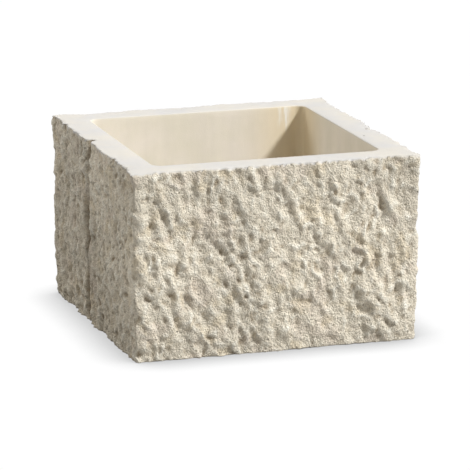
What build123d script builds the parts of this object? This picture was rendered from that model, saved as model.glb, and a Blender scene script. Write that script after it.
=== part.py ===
from build123d import *
from math import pi, sin
import os

# Pillar block of cast stone, in millimetres.
# Frame: the lower bed lies on Z = 0, the cavity's axis is +Z, and the unjointed faces look to -Y and +Y.

# Plan size over the arrises of the dressed faces, and height from bed to bed
block_length = 306.0
block_depth = 306.0
block_height = 200.0

# Walls round the cavity, from the arrises: the core is drafted so that it lifts out upwards
wall_at_rim = 29.0
wall_at_foot = 32.0
cavity_corner_radius = 10.0
rim_arris_radius = 1.5

# Upright false joint in each side face, which makes one cast face look like two stones laid side by side
joint_width = 11.0
joint_floor_width = 3.0
joint_cut = 7.0
joint_off_centre = 18.0

# Hammer dressing: flat facets between the points of a lattice of about this pitch, steep as the tool marks are.
# Its points between the beds stand proud of the arrises, and each point stands out by a share of a slow swell
# and by a chance height of its own, which is less on the arrises than on the faces.
facet_width = 7.5
facet_height = 17.0
proud = 2.2
swell = 1.0
swell_length = 110.0
swell_slant = 0.35
rough = 2.7
rough_at_arris = 1.3

# Where the dressing starts: opposite faces come from one mould pattern, turned half a turn, so they start alike
face_start = 0.6
side_start = 1.9

along_steps = round(max(block_length, block_depth) / facet_width)
up_steps = round(block_height / facet_height)

# The sides in the order of their corners: each has the direction that it faces, the direction of its lattice's
# columns, which the next side faces, how far out its arrises are, its length and its start
sides = (
    (Vector(0, -1), Vector(1, 0), block_depth / 2, block_length, face_start),
    (Vector(1, 0), Vector(0, 1), block_length / 2, block_depth, side_start),
    (Vector(0, 1), Vector(-1, 0), block_depth / 2, block_length, face_start),
    (Vector(-1, 0), Vector(0, -1), block_length / 2, block_depth, side_start),
)


def chance(column, row, start):
    """A number from -1 to 1 that looks random and is always the same for one lattice point: the fraction of a
    large multiple of a sine."""
    spread = sin(12.9898 * column + 78.233 * row + start) * 43758.5453
    return 2 * (spread % 1) - 1


def height_at(number, column, row):
    """How far a lattice point stands out from its side's arrises, in three parts: proud, swell and chance."""
    length, start = sides[number][3:]
    along = length * (column / along_steps - 0.5)
    up = block_height * row / up_steps
    slow = sin(2 * pi * (along + swell_slant * up) / swell_length + start)
    on_bed = row in (0, up_steps)
    on_arris = on_bed or column in (0, along_steps)
    step = (rough_at_arris if on_arris else rough) * chance(column, row, start)
    return (0 if on_bed else proud) + swell * slow + step


def lattice_point(number, column, row):
    """A side's lattice point in space: its first column is the arris, and stands out from both sides there."""
    outward, onward, reach, length, start = sides[number]
    out = reach + height_at(number, column, row)
    along = length * (column / along_steps - 0.5)
    if column == 0:
        along -= height_at(number - 1, along_steps, row)
    return outward * out + onward * along + Vector(0, 0, block_height * row / up_steps)


# The lattice's columns, all the way round the block
columns = []
for number in range(len(sides)):
    for column in range(along_steps):
        columns.append([lattice_point(number, column, row) for row in range(up_steps + 1)])

# Two facets for each cell of the lattice, parted along the slant that the tool marks have, and the two beds
facets = []
for here, there in zip(columns, columns[1:] + columns[:1]):
    for row in range(up_steps):
        facets.append(Face(Wire.make_polygon([here[row], there[row], here[row + 1]])))
        facets.append(Face(Wire.make_polygon([there[row], there[row + 1], here[row + 1]])))
for row in (0, up_steps):
    facets.append(Face(Wire.make_polygon([column[row] for column in columns])))

with BuildPart() as pillar_block:
    # Blank with its four dressed faces, closed by the beds
    add(Solid(Shell(facets)))

    # Cavity, open at both beds and wider at the rim than at the foot
    for height, wall in ((0, wall_at_foot), (block_height, wall_at_rim)):
        with BuildSketch(Plane.XY.offset(height)):
            RectangleRounded(block_length - 2 * wall, block_depth - 2 * wall, cavity_corner_radius)
    loft(mode=Mode.SUBTRACT)

    # Worn arris round the cavity's mouth
    rim = pillar_block.faces().sort_by(Axis.Z)[-1]
    fillet(rim.inner_wires()[0].edges(), radius=rim_arris_radius)

    # False joints, from bed to bed: each groove is splayed from its floor to the arris and on past the facets.
    # They stand half a turn apart, so that the block matches itself when it is turned round.
    joint_splay = (joint_width - joint_floor_width) / 2 / joint_cut
    past_facets = 2 * (proud + swell + rough)
    mouth_width = joint_width + 2 * past_facets * joint_splay
    with BuildSketch():
        with PolarLocations(block_length / 2, 2):
            Polygon(
                (-joint_cut, -joint_off_centre - joint_floor_width / 2),
                (past_facets, -joint_off_centre - mouth_width / 2),
                (past_facets, -joint_off_centre + mouth_width / 2),
                (-joint_cut, -joint_off_centre + joint_floor_width / 2),
                align=None,
            )
    extrude(amount=block_height, mode=Mode.SUBTRACT)

pillar_block.part.label = "pillar_block"
os.makedirs("parts", exist_ok=True)
export_step(pillar_block.part, "parts/pillar_block.step")
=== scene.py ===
from math import cos, pi, radians, sin

import bpy
import numpy as np
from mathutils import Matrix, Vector


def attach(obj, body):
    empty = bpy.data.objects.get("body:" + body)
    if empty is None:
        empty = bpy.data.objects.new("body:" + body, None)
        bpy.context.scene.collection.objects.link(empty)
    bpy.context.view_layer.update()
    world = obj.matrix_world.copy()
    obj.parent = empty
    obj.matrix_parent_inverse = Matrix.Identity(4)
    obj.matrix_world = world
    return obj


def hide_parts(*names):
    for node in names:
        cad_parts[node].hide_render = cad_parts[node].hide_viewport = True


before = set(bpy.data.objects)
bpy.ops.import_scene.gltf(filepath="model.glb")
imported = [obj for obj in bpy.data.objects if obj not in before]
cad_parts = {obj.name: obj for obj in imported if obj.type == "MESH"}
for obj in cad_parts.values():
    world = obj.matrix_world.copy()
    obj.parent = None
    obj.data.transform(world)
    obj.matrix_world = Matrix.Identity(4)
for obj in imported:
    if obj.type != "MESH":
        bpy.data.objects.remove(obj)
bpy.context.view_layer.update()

# The pillar block: a hollow square of pale cast stone, poured in one go into a mould whose four sides carry
# the pattern of hammer-dressed stone. The rim was struck off flat and the cavity was left smooth by its core.
# Lengths in this section are millimetres, as in the part's source, until the mesh is made.
block_width = 306.0
block_height = 200.0
wall_at_rim = 29.0
wall_at_foot = 32.0
cavity_corner_radius = 10.0
rim_arris_radius = 1.5
joint_width = 11.0
joint_floor_width = 3.0
joint_cut = 7.0
joint_place = -18.0
half_width = block_width / 2
girth = 4 * block_width

# Columns of points run up the block, closer together over a joint. Their order is front, right, back, left, and
# on each side they are counted from its left end as it is looked at. The right and left sides are jointed.
columns_per_side = 178
columns_at_joint = (73, 76, 78, 81)
joint_edges = joint_place + np.array([-joint_width, -joint_floor_width, joint_floor_width, joint_width]) / 2
plain_side = np.linspace(-half_width, half_width, columns_per_side, endpoint=False)
jointed_side = np.interp(
    np.arange(columns_per_side),
    [0, *columns_at_joint, columns_per_side],
    [-half_width, *joint_edges, half_width],
)
side_number = np.arange(4)[:, None, None]
jointed = side_number % 2 == 1
along = np.stack([plain_side, jointed_side, plain_side, jointed_side])[:, :, None]
around = along + half_width + side_number * block_width
to_left, to_right = along + half_width, half_width - along
from_corner = np.minimum(to_left, to_right)

# The way that each side faces, and the way that its columns are counted
out_x, out_y = np.array([[0.0, 1, 0, -1], [-1, 0, 1, 0]])[:, :, None, None]
run_x, run_y = np.array([[1.0, 0, -1, 0], [0, 1, 0, -1]])[:, :, None, None]

# The large facets of the dressing, as in the part's source
facet_width = 7.5
facet_height = 17.0
proud = 2.2
swell = 1.0
swell_length = 110.0
swell_slant = 0.35
rough = 2.7
rough_at_arris = 1.3
face_start = 0.6
side_start = 1.9
along_steps = round(block_width / facet_width)
up_steps = round(block_height / facet_height)


def facets(along, up):
    """Height of the solid's facets over the arrises, for the four sides at once. Each point of their lattice has
    a height of its own: a slow sine, plus chance, which is the fraction of a large multiple of a sine and is
    less on the arrises, and between the beds it stands proud. Each cell has two flat facets, parted by its
    diagonal from upper left to lower right."""
    column, row = np.arange(along_steps + 1)[:, None], np.arange(up_steps + 1)
    start = np.where(jointed, side_start, face_start)
    at_along, at_up = block_width * (column / along_steps - 0.5), block_height * row / up_steps
    slow = np.sin(2 * pi * (at_along + swell_slant * at_up) / swell_length + start)
    chance = 2 * (np.sin(12.9898 * column + 78.233 * row + start) * 43758.5453 % 1) - 1
    on_bed = (row == 0) | (row == up_steps)
    on_arris = on_bed | (column == 0) | (column == along_steps)
    lattice = np.where(on_bed, 0, proud) + swell * slow + np.where(on_arris, rough_at_arris, rough) * chance

    across, rise = (along / block_width + 0.5) * along_steps, up / block_height * up_steps
    across, rise = np.broadcast_arrays(across, rise)
    i, j = np.clip(across.astype(int), 0, along_steps - 1), np.clip(rise.astype(int), 0, up_steps - 1)
    u, v = np.clip(across - i, 0, 1), np.clip(rise - j, 0, 1)
    low_left, low_right = lattice[side_number, i, j], lattice[side_number, i + 1, j]
    high_left, high_right = lattice[side_number, i, j + 1], lattice[side_number, i + 1, j + 1]
    lower = low_left + u * (low_right - low_left) + v * (high_left - low_left)
    upper = high_right + (1 - u) * (high_left - high_right) + (1 - v) * (low_right - high_right)
    return np.where(u + v < 1, lower, upper)


def smooth_step(x):
    """Rises from 0 at x = 0 to 1 at x = 1, level at both ends: the cubic 3x^2 - 2x^3."""
    x = np.clip(x, 0, 1)
    return x * x * (3 - 2 * x)


def patches(around, up, size, seed):
    """Random heights from -1 to 1 at the points of a square lattice that closes round the block, and between
    the points a smooth step in each direction."""
    count = round(girth / size)
    heights = np.random.default_rng(seed).uniform(-1, 1, (count, count))
    u, v = np.broadcast_arrays(around / girth * count, up / size)
    i, j = np.floor(u).astype(int), np.floor(v).astype(int)
    across, rise = smooth_step(u - i), smooth_step(v - j)
    here, right, level, above = i % count, (i + 1) % count, j % count, (j + 1) % count
    low = heights[here, level] * (1 - across) + heights[right, level] * across
    high = heights[here, above] * (1 - across) + heights[right, above] * across
    return low * (1 - rise) + high * rise


def hammer_marks(around, up, pitch, depth, stretch, slant, turn_range, tilt, softness, seed):
    """Lower envelope of shallow bowls, one near each point of a square lattice that closes round the block.
    A bowl is a paraboloid, stretched along the slant and tipped across it, and has its own chance of being
    deeper, sharper, more tipped or turned. Where two meet they leave a ridge, which a soft minimum,
    -w log(sum of exp(-height / w)), rounds off."""
    count = round(girth / pitch)
    pick = np.random.default_rng(seed)
    place_around, place_up, floor, sharpness, lean, turn = pick.uniform(0, 1, (6, count, count))
    u, v = np.broadcast_arrays(around / girth * count, up / pitch)
    i, j = np.floor(u).astype(int), np.floor(v).astype(int)
    total = np.zeros(u.shape)
    for step_around in range(-2, 3):
        for step_up in range(-3, 4):
            cell = (i + step_around) % count, (j + step_up) % count
            du = (u - i - step_around - place_around[cell]) * pitch
            dv = (v - j - step_up - place_up[cell]) * pitch
            angle = slant + turn_range * (turn[cell] - 0.5)
            length = (du * np.cos(angle) + dv * np.sin(angle)) / (pitch * stretch)
            width = (dv * np.cos(angle) - du * np.sin(angle)) / (pitch / stretch)
            steepness = 0.55 + 0.9 * sharpness[cell]
            bowl = depth * (1.1 * (floor[cell] - 0.5) + steepness * (length**2 + width**2))
            bowl += tilt * (0.4 + 1.2 * lean[cell]) * width * pitch / stretch
            total += np.exp(-bowl / softness)
    return -softness * np.log(total)


def tool_marks(around, up):
    """Height of the tooling over the facets: large hammer marks, smaller breaks inside them where the stone
    spalled, deeper on the jointed sides, and a coarse grain. The marks' places are shifted by a low noise, so
    that no ridge is straight."""
    u, v = around, up
    for size, shift, seed in ((17, 3.5, 11), (7, 2.4, 12), (3.3, 0.8, 17)):
        u = u + shift * patches(around, up, size, seed)
        v = v + shift * patches(around, up, size, seed + 100)
    large = hammer_marks(
        u, v, pitch=9.5, depth=2.1, stretch=1.4, slant=radians(-70), turn_range=1.6,
        tilt=0.1, softness=0.1, seed=21,
    )
    small = hammer_marks(
        u, v, pitch=5.5, depth=2.0, stretch=1.4, slant=radians(-68), turn_range=1.6,
        tilt=0.08, softness=0.05, seed=22,
    )
    spalled = 0.5 + 0.5 * smooth_step(0.5 + 0.9 * patches(around, up, size=24, seed=15))
    spalled = spalled * np.where(jointed, 1.4, 1.0)
    grain = 0.4 * patches(around, up, size=3.6, seed=16)
    return large + spalled * small + grain


# Rows of points run round the block, between the chipped arrises of the rim and of the foot. The rim's chips
# are deepest where a tool mark just below it cuts in, and there are long ones and small ones as well. Towards
# the corners, and on the right and back sides, they are shallower.
rows_up = 116
just_below_rim = block_height - 3
marks_at_rim = tool_marks(around, just_below_rim)
cut_at_rim = 1.2 * np.clip(marks_at_rim.mean() + 0.3 - marks_at_rim, 0, 3)
long_chips = 0.6 * smooth_step(0.9 * patches(around, 0, size=21, seed=31))
small_chips = 1.2 * patches(around, 0, size=5, seed=32) ** 2
chip_at_rim = cut_at_rim + long_chips + small_chips
chip_at_rim *= 0.25 + 0.75 * smooth_step(from_corner / 16)
chip_at_rim *= np.where((side_number == 1) | (side_number == 2), 0.5, 1.0)
long_chips = 1.1 * smooth_step(0.2 + 0.9 * patches(around, 0, size=30, seed=33))
small_chips = 0.4 * patches(around, 0, size=6, seed=34) ** 2
chip_at_foot = long_chips + small_chips
up = chip_at_foot + (block_height - chip_at_rim - chip_at_foot) * np.linspace(0, 1, rows_up)
from_rim = block_height - up

# The tooling over the facets, shallower within 5 mm of the rim and 8 mm of the vertical arrises
tooling = tool_marks(around, up)
tooling -= tooling.mean()
calm_at_rim = 0.45 + 0.55 * smooth_step(from_rim / 5)
calm_at_corner = 1 - 0.4 * smooth_step(1 - from_corner / 8)
relief = tooling * calm_at_rim * calm_at_corner

# The face leans out a little to the rim, further near the corners, and less at the foot
rim_lean, rim_lean_height = 1.8, 16
corner_lean, corner_lean_reach = 2.6, 24
foot_lean, foot_lean_height = 0.4, 9
near_rim = np.clip(1 - from_rim / rim_lean_height, 0, 1)
near_corner = smooth_step(1 - from_corner / corner_lean_reach)
near_foot = np.clip(1 - up / foot_lean_height, 0, 1) ** 2
out_at_rim = rim_lean - 0.7 * patches(around, 0, size=26, seed=35) + corner_lean * near_corner
out_at_foot = foot_lean - 0.6 * patches(around, 0, size=26, seed=36)
lean = out_at_rim * near_rim + out_at_foot * near_foot
dressing = facets(along, up) + relief + lean

# The false joints: on the jointed sides the surface is the lower of the dressing and of a splayed groove, which
# wanders a little and is slightly uneven
joint_slope = joint_cut / ((joint_width - joint_floor_width) / 2)
wander = 0.5 * patches(around, up, size=19, seed=41)
from_joint = np.abs(along + wander - joint_place)
groove = -joint_cut + joint_slope * np.maximum(from_joint - joint_floor_width / 2, 0)
groove += 0.25 * patches(around, up, size=5, seed=42)
height = np.where(jointed, np.minimum(dressing, groove), dressing)

# At a vertical corner each face is pushed along by its neighbour's height, over the width of one facet. The
# first column of a side also ends the side before it, so heights there are read at that column's points.
facet_run = block_width / along_steps
next_start = np.roll(height[:, :1], -1, axis=0)
end_height = facets(half_width, np.roll(up[:, :1], -1, axis=0)) + np.roll((relief + lean)[:, :1], -1, axis=0)
before_start = np.roll(end_height, 1, axis=0)
pushed_on = next_start * np.clip(1 - to_right / facet_run, 0, 1)
pushed_back = before_start * np.clip(1 - to_left / facet_run, 0, 1)

# The vertical arrises are knocked off, less so near the rim: both faces fall back by a square law
corner_place = side_number * block_width
knock = 1.1 + 0.6 * patches(corner_place, up, size=23, seed=51) + 0.5 * patches(corner_place, up, size=9, seed=52)
knock *= 0.4 + 0.6 * smooth_step(from_rim / 14)
knock_reach = 5.5 + 2.0 * patches(corner_place, up, size=31, seed=53)
knock_end, knock_reach_end = np.roll(knock, -1, axis=0), np.roll(knock_reach, -1, axis=0)
to_start = knock * np.clip(1 - to_left / knock_reach, 0, 1) ** 2
to_end = knock_end * np.clip(1 - to_right / knock_reach_end, 0, 1) ** 2
distance_out = half_width + height - to_start - to_end
distance_along = along + pushed_on - pushed_back + to_start - to_end
face_x = out_x * distance_out + run_x * distance_along
face_y = out_y * distance_out + run_y * distance_along


def rounded_square(half, radius):
    """Points of a rounded square, one for each column, at equal steps of its length from each corner's middle:
    a quarter is half an arc, a straight run and half an arc."""
    arc = radius * pi / 4
    run = 2 * (half - radius)
    travel = to_left[..., 0] / block_width * (run + 2 * arc)
    straight = np.clip(travel - arc, 0, run)
    turn = (np.clip(travel, 0, arc) + np.clip(travel - arc - run, 0, arc)) / radius - pi / 4
    forward = -(half - radius) + straight + radius * np.sin(turn)
    outward = (half - radius) + radius * np.cos(turn)
    x = out_x[..., 0] * outward + run_x[..., 0] * forward
    y = out_y[..., 0] * outward + run_y[..., 0] * forward
    return x, y


# Rings of the cavity: over its worn arris at the rim, down its drafted walls and out again under the foot.
# Each is a rounded square with its half width, its corner radius and its height.
half_rim = half_width - wall_at_rim
half_foot = half_width - wall_at_foot
arris_rings = 5
wall_shares = (0.03, 0.3, 0.6, 0.985, 1.0)
rings = []
for turn in np.linspace(0, pi / 2, arris_rings):
    set_back = rim_arris_radius * (1 - sin(turn))
    drop = rim_arris_radius * (1 - cos(turn))
    rings.append((half_rim + set_back, cavity_corner_radius + set_back, block_height - drop))
for share in wall_shares:
    half = half_rim + (half_foot - half_rim) * share
    rings.append((half, cavity_corner_radius, (block_height - rim_arris_radius) * (1 - share)))
under_foot = 0.6
rings.append((half_foot + under_foot, cavity_corner_radius + under_foot, 0.0))
ring_x, ring_y = np.stack([rounded_square(half, radius) for half, radius, _ in rings], axis=-1)
ring_up = np.broadcast_to([level for _, _, level in rings], ring_x.shape)


def between(outer, inner, shares):
    """Rows on the straight lines between two rows, at the given shares of the way."""
    return np.stack([outer + (inner - outer) * share for share in shares], axis=-1)


# The rim's rows lie between the dressed faces' top row and the first ring, and fall to its chips at their outer
# edge. The lower bed's rows lead from the last ring back to the faces' bottom row, which closes the surface.
rim_shares = (0.02, 0.05, 0.08, 0.5)
rim_fall = (0.4, 0.05, 0, 0)
bed_shares = (0.5, 0.12, 0.02)
rim_x = between(face_x[..., -1], ring_x[..., 0], rim_shares)
rim_y = between(face_y[..., -1], ring_y[..., 0], rim_shares)
rim_up = block_height - chip_at_rim * np.array(rim_fall)
bed_x = between(face_x[..., 0], ring_x[..., -1], bed_shares)
bed_y = between(face_y[..., 0], ring_y[..., -1], bed_shares)
x = np.concatenate([face_x, rim_x, ring_x, bed_x], axis=-1)
y = np.concatenate([face_y, rim_y, ring_y, bed_y], axis=-1)
z = np.concatenate([up, rim_up, ring_up, np.zeros(bed_x.shape)], axis=-1)

# The mesh in metres: each column and row has a quad to its right and above it, and both close on themselves
columns = 4 * columns_per_side
rows = x.shape[-1]
points = np.stack([x, y, z], axis=-1).reshape(-1, 3) / 1000
column, row = np.meshgrid(np.arange(columns), np.arange(rows), indexing="ij")
right, above = (column + 1) % columns, (row + 1) % rows
quads = np.stack([column * rows + row, right * rows + row, right * rows + above, column * rows + above], axis=-1)
block_mesh = bpy.data.meshes.new("cast_block")
block_mesh.from_pydata(points.tolist(), [], quads.reshape(-1, 4).tolist())
block_mesh.polygons.foreach_set("use_smooth", np.ones(columns * rows, bool))


def spread(values, times):
    """Each value becomes the mean of itself and its neighbours round the block, then of those above and below,
    so many times over."""
    flat = values.reshape(-1, values.shape[-1])
    for _ in range(times):
        flat = (flat + np.roll(flat, 1, axis=0) + np.roll(flat, -1, axis=0)) / 3
        padded = np.pad(flat, ((0, 0), (1, 1)), mode="edge")
        flat = (padded[:, :-2] + padded[:, 1:-1] + padded[:, 2:]) / 3
    return flat.reshape(values.shape)


def on_faces(values):
    """Values for the dressed faces' points, and 0 for the rim's, the cavity's and the lower bed's."""
    whole = np.zeros(x.shape)
    whole[..., :rows_up] = values
    return whole


# What the material reads at each point. Hollows are darker by how far a point lies below the stone around it or
# below the face, partly dust and partly painted shade, and crests are lighter, partly wear and partly a painted
# highlight. The dressing ends in a ragged line at the rim, and the cavity's tone, painted lighter than the rim's,
# comes in over the rings of its arris. A darker brown patch, partly damp and partly painted shade, has its middle
# in the back right corner, where the right wall's shadow falls.
sunk = spread(tooling, times=9) - tooling
below_face = dressing - height
dressed = smooth_step((from_rim - 0.5 + 2.2 * patches(around, up, size=3.2, seed=37)) / 1.8)
# Painted shade, with dust: the tool marks' hollows and the joint's groove are darkened
hollow_dust_and_shade = np.maximum(smooth_step((sunk - 0.1) / 1.5), smooth_step((below_face - 1) / 4))
hollow_dust_and_shade *= smooth_step((from_rim - 0.2) / 2.5)
# Crests are painted lighter: partly wear, partly a painted highlight
crest_wear_and_highlight = smooth_step((-sunk - 0.1) / 1.2)
# The groove's floor, darkened by dirt and by painted shade standing in for a narrow joint's shadow
seam_dirt_and_shade = smooth_step((below_face - 4.5) / 3)
first_arris_row = rows_up + len(rim_shares)
first_wall_row = first_arris_row + arris_rings
first_bed_row = first_arris_row + len(rings)
cavity = np.zeros(x.shape)
cavity[..., first_arris_row:first_wall_row] = 0, 0.15, 0.35, 0.65, 1
cavity[..., first_wall_row:first_bed_row] = 1
# A darker, browner patch in the cavity's back right corner, where the right wall's shadow falls: partly damp,
# partly painted shade
damp_and_shade_reach = 75
damp_and_shade = cavity * smooth_step(1.1 - np.hypot(x - half_rim, y - half_rim) / damp_and_shade_reach)
point_values = {
    "dressed": on_faces(dressed),
    "cavity": cavity,
    "hollow_dust_and_shade": on_faces(hollow_dust_and_shade),
    "crest_wear_and_highlight": on_faces(crest_wear_and_highlight),
    "damp_and_shade": damp_and_shade,
    "broken": on_faces(jointed),
    "seam_dirt_and_shade": on_faces(seam_dirt_and_shade),
}
for name, values in point_values.items():
    attribute = block_mesh.attributes.new(name, "FLOAT", "POINT")
    attribute.data.foreach_set("value", values.reshape(-1).astype(np.float32))
block_mesh.update()
block = bpy.data.objects.new("cast_block", block_mesh)
bpy.context.scene.collection.objects.link(block)


def add(tree, kind, inputs, **settings):
    """Adds a shader node with its settings. Each of its inputs is given a value, or a socket that feeds it."""
    made = tree.nodes.new("ShaderNode" + kind)
    for name, value in settings.items():
        setattr(made, name, value)
    for name, value in inputs.items():
        if isinstance(value, bpy.types.NodeSocket):
            tree.links.new(value, made.inputs[name])
        else:
            made.inputs[name].default_value = value
    return made


def mix(tree, share, first, second, blend="MIX"):
    """Colour on the way from the first to the second, by the share."""
    return add(tree, "Mix", {0: share, 6: first, 7: second}, data_type="RGBA", blend_type=blend).outputs[2]


def maths(tree, operation, first, second):
    """A Math node's result for two values or sockets."""
    return add(tree, "Math", {0: first, 1: second}, operation=operation).outputs[0]


def ranged(tree, value, low, high, to_low=0.0, to_high=1.0, curve="LINEAR"):
    """The value, with its range from low to high made the range from to_low to to_high, and held at its ends."""
    inputs = {"Value": value, "From Min": low, "From Max": high, "To Min": to_low, "To Max": to_high}
    return add(tree, "MapRange", inputs, interpolation_type=curve).outputs["Result"]


def shaded(tree, colour, noise, dark, light):
    """The colour times a number from dark to light, by a noise that lies mostly between 0.3 and 0.7."""
    return mix(tree, 1.0, colour, ranged(tree, noise, 0.3, 0.7, dark, light), "MULTIPLY")


def mapped(tree, where, **placing):
    """Coordinates for a pattern that is moved, turned or stretched as its Location, Rotation or Scale says."""
    return add(tree, "Mapping", {"Vector": where, **placing}, vector_type="TEXTURE").outputs["Vector"]


def new_group(name, inputs, output):
    """An empty node group with a Vector input, number inputs with their usual values, and one number output."""
    group = bpy.data.node_groups.new(name, "ShaderNodeTree")
    group.interface.new_socket("Vector", in_out="INPUT", socket_type="NodeSocketVector")
    for label, value in inputs.items():
        group.interface.new_socket(label, in_out="INPUT", socket_type="NodeSocketFloat").default_value = value
    group.interface.new_socket(output, in_out="OUTPUT", socket_type="NodeSocketFloat")
    return group, group.nodes.new("NodeGroupInput").outputs, group.nodes.new("NodeGroupOutput").inputs


def effect(tree, group, where, **values):
    """The output of a node group, with its own values, at the given coordinates."""
    return add(tree, "Group", {"Vector": where, **values}, node_tree=group).outputs[0]


# Sand: grains of a given size in metres, as a height from 0 to 1
sand, given, result = new_group("sand", {"Size": 0.002, "Detail": 2.0}, "Height")
per_metre = maths(sand, "DIVIDE", 1.0, given["Size"])
grain = {"Vector": given["Vector"], "Scale": per_metre, "Detail": given["Detail"], "Roughness": 0.6}
sand.links.new(add(sand, "TexNoise", grain).outputs["Fac"], result["Height"])

# Stain: soft patches of a given size in metres, where a slow noise is over a level; 0 outside them, 1 inside
stain, given, result = new_group("stain", {"Size": 0.03, "Level": 0.55, "Softness": 0.12}, "Mask")
per_metre = maths(stain, "DIVIDE", 1.0, given["Size"])
slow = {"Vector": given["Vector"], "Scale": per_metre, "Detail": 3.0, "Roughness": 0.55}
slow_noise = add(stain, "TexNoise", slow).outputs["Fac"]
full = maths(stain, "ADD", given["Level"], given["Softness"])
stain.links.new(ranged(stain, slow_noise, given["Level"], full, curve="SMOOTHSTEP"), result["Mask"])

# Pinholes: round specks in a small share of the cells of a cell pattern of a given size in metres
pinholes, given, result = new_group("pinholes", {"Size": 0.005, "Share": 0.05, "Radius": 0.2}, "Mask")
per_metre = maths(pinholes, "DIVIDE", 1.0, given["Size"])
cells = add(pinholes, "TexVoronoi", {"Vector": given["Vector"], "Scale": per_metre}).outputs
chance = add(pinholes, "SeparateColor", {"Color": cells["Color"]}).outputs["Red"]
chosen = maths(pinholes, "LESS_THAN", chance, given["Share"])
inside = ranged(pinholes, cells["Distance"], 0.0, given["Radius"], 1.0, 0.0)
pinholes.links.new(maths(pinholes, "MULTIPLY", chosen, inside), result["Mask"])

cast_stone = bpy.data.materials.new("cast_stone")
cast_stone.use_nodes = True
tree = cast_stone.node_tree
shader = tree.nodes["Principled BSDF"]


def at_point(name):
    """The value of this name that the mesh holds at each point."""
    return add(tree, "Attribute", {}, attribute_name=name).outputs["Fac"]


is_dressed = at_point("dressed")
is_cavity = at_point("cavity")
in_hollow_dust_and_shade = at_point("hollow_dust_and_shade")
on_crest_wear_and_highlight = at_point("crest_wear_and_highlight")
in_damp_and_shade = at_point("damp_and_shade")
is_broken = at_point("broken")
in_seam_dirt_and_shade = at_point("seam_dirt_and_shade")

# Patterns of the stone: coarse sand and pocks, a little taller than wide and raked over, fine sand, slow clouds
# and batches, streaks and threads drawn down the walls, stains, pricks and a few deep holes
place = add(tree, "TexCoord", {}).outputs["Object"]
raked = mapped(tree, place, Rotation=(radians(-11), radians(11), 0), Scale=(1, 1, 1.15))
drawn_down = mapped(tree, place, Scale=(1, 1, 9))
coarse_sand = effect(tree, sand, raked, Size=0.0022, Detail=2.0)
fine_sand = effect(tree, sand, place, Size=0.0011, Detail=2.0)
clouds = effect(tree, sand, place, Size=0.045, Detail=3.0)
batches = effect(tree, sand, place, Size=0.14, Detail=2.0)
streaks = effect(tree, sand, drawn_down, Size=0.016, Detail=4.0)
pink_mask = effect(tree, stain, place, Size=0.028, Level=0.52, Softness=0.14)
ochre_mask = effect(tree, stain, place, Size=0.021, Level=0.54, Softness=0.12)
threads = effect(tree, stain, drawn_down, Size=0.0045, Level=0.40, Softness=0.2)
pocks = effect(tree, pinholes, raked, Size=0.005, Share=0.4, Radius=0.34)
pricks = effect(tree, pinholes, place, Size=0.0065, Share=0.6, Radius=0.42)
holes = effect(tree, pinholes, place, Size=0.011, Share=0.05, Radius=0.11)

# The dressed faces: buff stone, browner in its hollows, partly dust and partly painted shade, and lighter on its
# crests, partly wear and partly a painted highlight, with pink and ochre stains, the speckle of its sand, lighter
# and darker batches, pocks and more pits on the jointed sides painted dark as their shade, and a joint darkened
# by dirt and painted shade
face_tone = (0.74, 0.67, 0.545, 1)
hollow_dust_and_shade_tone = (0.385, 0.31, 0.215, 1)
crest_wear_and_highlight_tone = (0.85, 0.80, 0.685, 1)
pink_tone = (0.68, 0.585, 0.48, 1)
ochre_tone = (0.66, 0.56, 0.40, 1)
pit_shade_tone = (0.33, 0.28, 0.21, 1)
seam_dirt_and_shade_tone = (0.22, 0.17, 0.115, 1)
pink_strength = 0.5
ochre_strength = 0.55
pit_shade_strength = 0.75
# Painted shade, with dust, in the hollows
face = mix(tree, in_hollow_dust_and_shade, face_tone, hollow_dust_and_shade_tone)
# Painted highlight, with wear, on the crests
face = mix(tree, on_crest_wear_and_highlight, face, crest_wear_and_highlight_tone)
face = mix(tree, maths(tree, "MULTIPLY", pink_mask, pink_strength), face, pink_tone)
face = mix(tree, maths(tree, "MULTIPLY", ochre_mask, ochre_strength), face, ochre_tone)
face = shaded(tree, face, fine_sand, 0.74, 1.22)
face = shaded(tree, face, batches, 0.865, 1.125)
# Painted shade: pocks, and on the jointed sides pricks, are painted dark as the shade inside pits
face = mix(tree, maths(tree, "MULTIPLY", pocks, pit_shade_strength), face, pit_shade_tone)
face = mix(tree, maths(tree, "MULTIPLY", pricks, is_broken), face, pit_shade_tone)
# Painted shade, with dirt, in the joint's groove
face = mix(tree, in_seam_dirt_and_shade, face, seam_dirt_and_shade_tone)

# The smooth skin of the rim and the cavity: two like tones in clouds, the cavity's painted lighter than the
# rim's, a darker brown patch of damp and painted shade, faint streaks down the cavity's walls, and lighter
# threads within an ellipsoid at the back wall's top, near its right end
# Painted light: the rim's tones are darker and the cavity's lighter, offsetting the strong light on the rim and
# the weak light in the cavity; the cavity's warmer hue is partly its own
rim_tone_painted_darker = (0.597, 0.58, 0.56, 1)
cream_tone_painted_darker = (0.612, 0.578, 0.52, 1)
cavity_tone_painted_lighter = (0.77, 0.715, 0.60, 1)
blush_tone_painted_lighter = (0.785, 0.722, 0.632, 1)
damp_and_shade_tone = (0.75, 0.64, 0.455, 1)
whitish_thread_tone = (0.85, 0.815, 0.745, 1)
cream = ranged(tree, clouds, 0.35, 0.65)
skin = mix(tree, is_cavity, mix(tree, cream, rim_tone_painted_darker, cream_tone_painted_darker), mix(tree, cream, cavity_tone_painted_lighter, blush_tone_painted_lighter))
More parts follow.
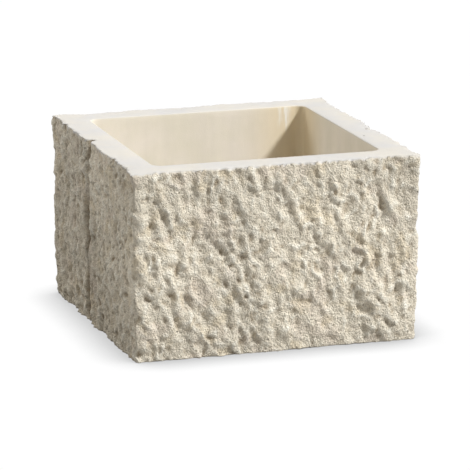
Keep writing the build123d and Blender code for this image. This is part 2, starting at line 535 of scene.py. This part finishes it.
# Painted shade, partly damp, in the cavity's back right corner
skin = mix(tree, in_damp_and_shade, skin, damp_and_shade_tone)
near_run = mapped(tree, place, Location=(0.101, 0.124, 0.196), Scale=(0.011, 0.02, 0.034))
run_distance = add(tree, "VectorMath", {0: near_run}, operation="LENGTH").outputs["Value"]
run_reach = ranged(tree, run_distance, 0.35, 1.0, 1.0, 0.0, curve="SMOOTHSTEP")
run_share = maths(tree, "MULTIPLY", maths(tree, "MULTIPLY", run_reach, threads), is_cavity)
skin = mix(tree, run_share, skin, whitish_thread_tone)
skin = shaded(tree, skin, clouds, 0.965, 1.03)
skin = mix(tree, is_cavity, skin, shaded(tree, skin, streaks, 0.965, 1.025))

# Painted shade: the few deep holes are painted near black, as the shade inside them
hole_shade_tone = (0.10, 0.085, 0.065, 1)
colour = mix(tree, is_dressed, skin, face)
colour = mix(tree, holes, colour, hole_shade_tone)
tree.links.new(colour, shader.inputs["Base Color"])

# The grain's height, on top of the mesh: sand less pocks on the faces, and a trace of sand on the skin. The
# holes are cut into both.
sand_height = maths(tree, "ADD", coarse_sand, maths(tree, "MULTIPLY", fine_sand, 0.4))
face_height = maths(tree, "SUBTRACT", sand_height, maths(tree, "MULTIPLY", pocks, 0.35))
skin_height = maths(tree, "MULTIPLY", fine_sand, 0.05)
grain_height = add(tree, "Mix", {0: is_dressed, 2: skin_height, 3: face_height}, data_type="FLOAT").outputs[0]
holed_height = maths(tree, "SUBTRACT", grain_height, holes)
bump = add(tree, "Bump", {"Height": holed_height, "Distance": 0.0028, "Strength": 1.0})
tree.links.new(bump.outputs["Normal"], shader.inputs["Normal"])
shader.inputs["Roughness"].default_value = 0.92
shader.inputs["Specular IOR Level"].default_value = 0.25
block_mesh.materials.append(cast_stone)

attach(block, "root")
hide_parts("pillar_block")

# The studio: a plain floor that runs out of sight, a soft key light from the front right and above, a weaker
# one from the back left, and a dim warm room, brighter at the horizon. The camera stands in front of the block,
# a little to its left and above it.
floor_reach = 12.0
corner_signs = ((-1, -1), (1, -1), (1, 1), (-1, 1))
floor_corners = [(sign_x * floor_reach, sign_y * floor_reach, 0) for sign_x, sign_y in corner_signs]
floor_mesh = bpy.data.meshes.new("studio_floor")
floor_mesh.from_pydata(floor_corners, [], [(0, 1, 2, 3)])
studio_floor = bpy.data.objects.new("studio_floor", floor_mesh)
bpy.context.scene.collection.objects.link(studio_floor)

# To the camera the floor glows white, with a painted contact shadow: darker close to the block, by its ambient
# occlusion. To all other rays it is a mid grey.
floor_white = bpy.data.materials.new("floor_white")
floor_white.use_nodes = True
floor_tree = floor_white.node_tree
floor_shader = floor_tree.nodes["Principled BSDF"]
seen = add(floor_tree, "LightPath", {}).outputs["Is Camera Ray"]
open_sky = add(floor_tree, "AmbientOcclusion", {"Distance": 0.055}, samples=16).outputs["AO"]
glow_with_painted_shadow = ranged(floor_tree, open_sky, 0.5, 0.93, 0.63, 1.01)
grey = mix(floor_tree, seen, (0.42, 0.42, 0.42, 1), (0, 0, 0, 1))
floor_tree.links.new(glow_with_painted_shadow, floor_shader.inputs["Emission Color"])
floor_tree.links.new(seen, floor_shader.inputs["Emission Strength"])
floor_tree.links.new(grey, floor_shader.inputs["Base Color"])
floor_shader.inputs["Roughness"].default_value = 1.0
floor_shader.inputs["Specular IOR Level"].default_value = 0.0
floor_mesh.materials.append(floor_white)


def sun(name, direction, energy, angle, colour):
    """A soft sun: the direction leads from the block to it, and the angle is its width in the sky."""
    light = bpy.data.lights.new(name, "SUN")
    light.energy, light.angle, light.color = energy, radians(angle), colour
    holder = bpy.data.objects.new(name, light)
    holder.rotation_euler = Vector(direction).to_track_quat("Z", "Y").to_euler()
    bpy.context.scene.collection.objects.link(holder)


sun("key_light", direction=(0.558, -0.427, 0.711), energy=4.0, angle=7, colour=(0.97, 0.985, 1.0))
sun("fill_light", direction=(-0.5, 0.6, 0.62), energy=1.08, angle=25, colour=(1.0, 0.985, 0.96))

room = bpy.data.worlds.new("studio_room")
room.use_nodes = True
background = room.node_tree.nodes["Background"]
background.inputs["Color"].default_value = (1, 0.97, 0.92, 1)
direction = add(room.node_tree, "TexCoord", {}).outputs["Generated"]
level = add(room.node_tree, "SeparateXYZ", {"Vector": direction}).outputs["Z"]
strength = ranged(room.node_tree, level, 0.0, 1.0, 0.5, 0.2)
room.node_tree.links.new(strength, background.inputs["Strength"])
bpy.context.scene.world = room
bpy.context.scene.view_settings.view_transform = "Standard"

# The camera was fitted to the corners of the block and of its cavity: a long lens, 3.7 m away
lens = bpy.data.cameras.new("camera")
lens.sensor_width = 36
lens.lens = 261.94
lens.clip_end = 100
camera = bpy.data.objects.new("camera", lens)
camera.location = (-1.1081, -3.4082, 0.9635)
look = Vector((0.004, 0, 0.0887)) - camera.location
camera.rotation_euler = look.to_track_quat("-Z", "Y").to_euler()
bpy.context.scene.collection.objects.link(camera)
bpy.context.scene.camera = camera
